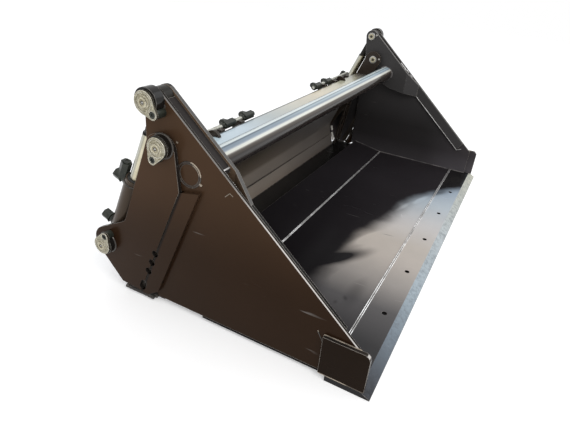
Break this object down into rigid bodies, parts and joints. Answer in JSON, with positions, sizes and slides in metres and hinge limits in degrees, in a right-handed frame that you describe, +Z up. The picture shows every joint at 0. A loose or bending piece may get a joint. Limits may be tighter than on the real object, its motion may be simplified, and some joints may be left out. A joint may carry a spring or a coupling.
{
  "type": "four-in-one bucket",
  "caption": "Wide hydraulic clamshell bucket for a skid-steer loader, with side arms, cross tube, bolt-on edge holes and an attachment plate.",
  "frame": {"origin": "on the ground, in the middle of the width and of the depth", "axes": "+X across the bucket to the operator's left, +Y to the loader, +Z up"},
  "size_m": [1.923, 0.997, 0.723],
  "materials": {
    "gloss_dark_paint": "gloss dark brown-black paint",
    "painted_wear_steel": "gloss dark paint on wear steel",
    "zinc_plate": "yellowish zinc plating",
    "hard_chrome": "ground hard chrome",
    "machined_steel": "machined steel",
    "black_fitting": "black phosphated steel with plastic caps"
  },
  "bodies": {
    "rear_body": {"attach_hook": "gloss_dark_paint", "attach_plate": "gloss_dark_paint", "base_pin_left": "zinc_plate", "base_pin_right": "zinc_plate", "end_gusset_left": "gloss_dark_paint", "end_gusset_right": "gloss_dark_paint", "hinge_pin_left": "zinc_plate", "hinge_pin_right": "zinc_plate", "hydraulic_line_left": "zinc_plate", "hydraulic_line_right": "zinc_plate", "line_clamps": "black_fitting", "line_fittings": "black_fitting", "moldboard": "gloss_dark_paint", "moldboard_wear_strip": "gloss_dark_paint", "rear_blade": "painted_wear_steel", "rear_flag_bolts": "zinc_plate", "rear_inner_plate_left": "gloss_dark_paint", "rear_inner_plate_right": "gloss_dark_paint", "rear_outer_plate_left": "gloss_dark_paint", "rear_outer_plate_right": "gloss_dark_paint", "rear_pin_bosses": "gloss_dark_paint", "rear_ribs": "gloss_dark_paint", "side_web_left": "gloss_dark_paint", "side_web_right": "gloss_dark_paint", "thrust_rings": "machined_steel", "top_beam": "gloss_dark_paint"},
    "clam": {"apex_bosses": "gloss_dark_paint", "arm_infills": "gloss_dark_paint", "arm_inner_plate_left": "gloss_dark_paint", "arm_inner_plate_right": "gloss_dark_paint", "clam_side_left": "gloss_dark_paint", "clam_side_right": "gloss_dark_paint", "corner_plate_left": "gloss_dark_paint", "corner_plate_right": "gloss_dark_paint", "cross_tube": "gloss_dark_paint", "cutting_edge": "painted_wear_steel", "floor_panel": "gloss_dark_paint", "floor_plate": "gloss_dark_paint", "grip_strip_left": "gloss_dark_paint", "grip_strip_right": "gloss_dark_paint", "hinge_sleeves": "machined_steel", "rear_lip_bar": "gloss_dark_paint", "rod_flag_bolts": "zinc_plate", "rod_pin_left": "zinc_plate", "rod_pin_right": "zinc_plate", "side_edge_bars": "gloss_dark_paint", "tube_end_caps": "gloss_dark_paint"},
    "rod_left": {"piston_left": "machined_steel", "piston_rod_left": "hard_chrome", "rod_bush_left": "machined_steel"},
    "barrel_left": {"cylinder_barrel_left": "gloss_dark_paint", "cylinder_fittings_left": "black_fitting", "cylinder_gland_left": "machined_steel"},
    "rod_right": {"piston_right": "machined_steel", "piston_rod_right": "hard_chrome", "rod_bush_right": "machined_steel"},
    "barrel_right": {"cylinder_barrel_right": "gloss_dark_paint", "cylinder_fittings_right": "black_fitting", "cylinder_gland_right": "machined_steel"}
  },
  "joints": [
    {"name": "clam_hinge", "type": "hinge", "parent": "rear_body", "child": "clam", "pos_m": [0, 0.1895, 0.568], "axis": [-1, 0, 0], "range_deg": [0, 65]},
    {"name": "rod_pivot_left", "type": "hinge", "parent": "clam", "child": "rod_left", "pos_m": [0.885, 0.2265, 0.685], "axis": [-1, 0, 0], "range_deg": [-60, 0]},
    {"name": "cylinder_stroke_left", "type": "slide", "parent": "rod_left", "child": "barrel_left", "axis": [0, -0.387, 0.9221], "range_m": [0, 0.121]},
    {"name": "rod_pivot_right", "type": "hinge", "parent": "clam", "child": "rod_right", "pos_m": [-0.885, 0.2265, 0.685], "axis": [-1, 0, 0], "range_deg": [-60, 0]},
    {"name": "cylinder_stroke_right", "type": "slide", "parent": "rod_right", "child": "barrel_right", "axis": [0, -0.387, 0.9221], "range_m": [0, 0.121]}
  ],
  "couplings": [
    {"joint": "rod_pivot_left", "follows": "clam_hinge", "ratio": -0.9015},
    {"joint": "cylinder_stroke_left", "follows": "clam_hinge", "m_per_rad": 0.10542},
    {"joint": "rod_pivot_right", "follows": "clam_hinge", "ratio": -0.9015},
    {"joint": "cylinder_stroke_right", "follows": "clam_hinge", "m_per_rad": 0.10542}
  ]
}
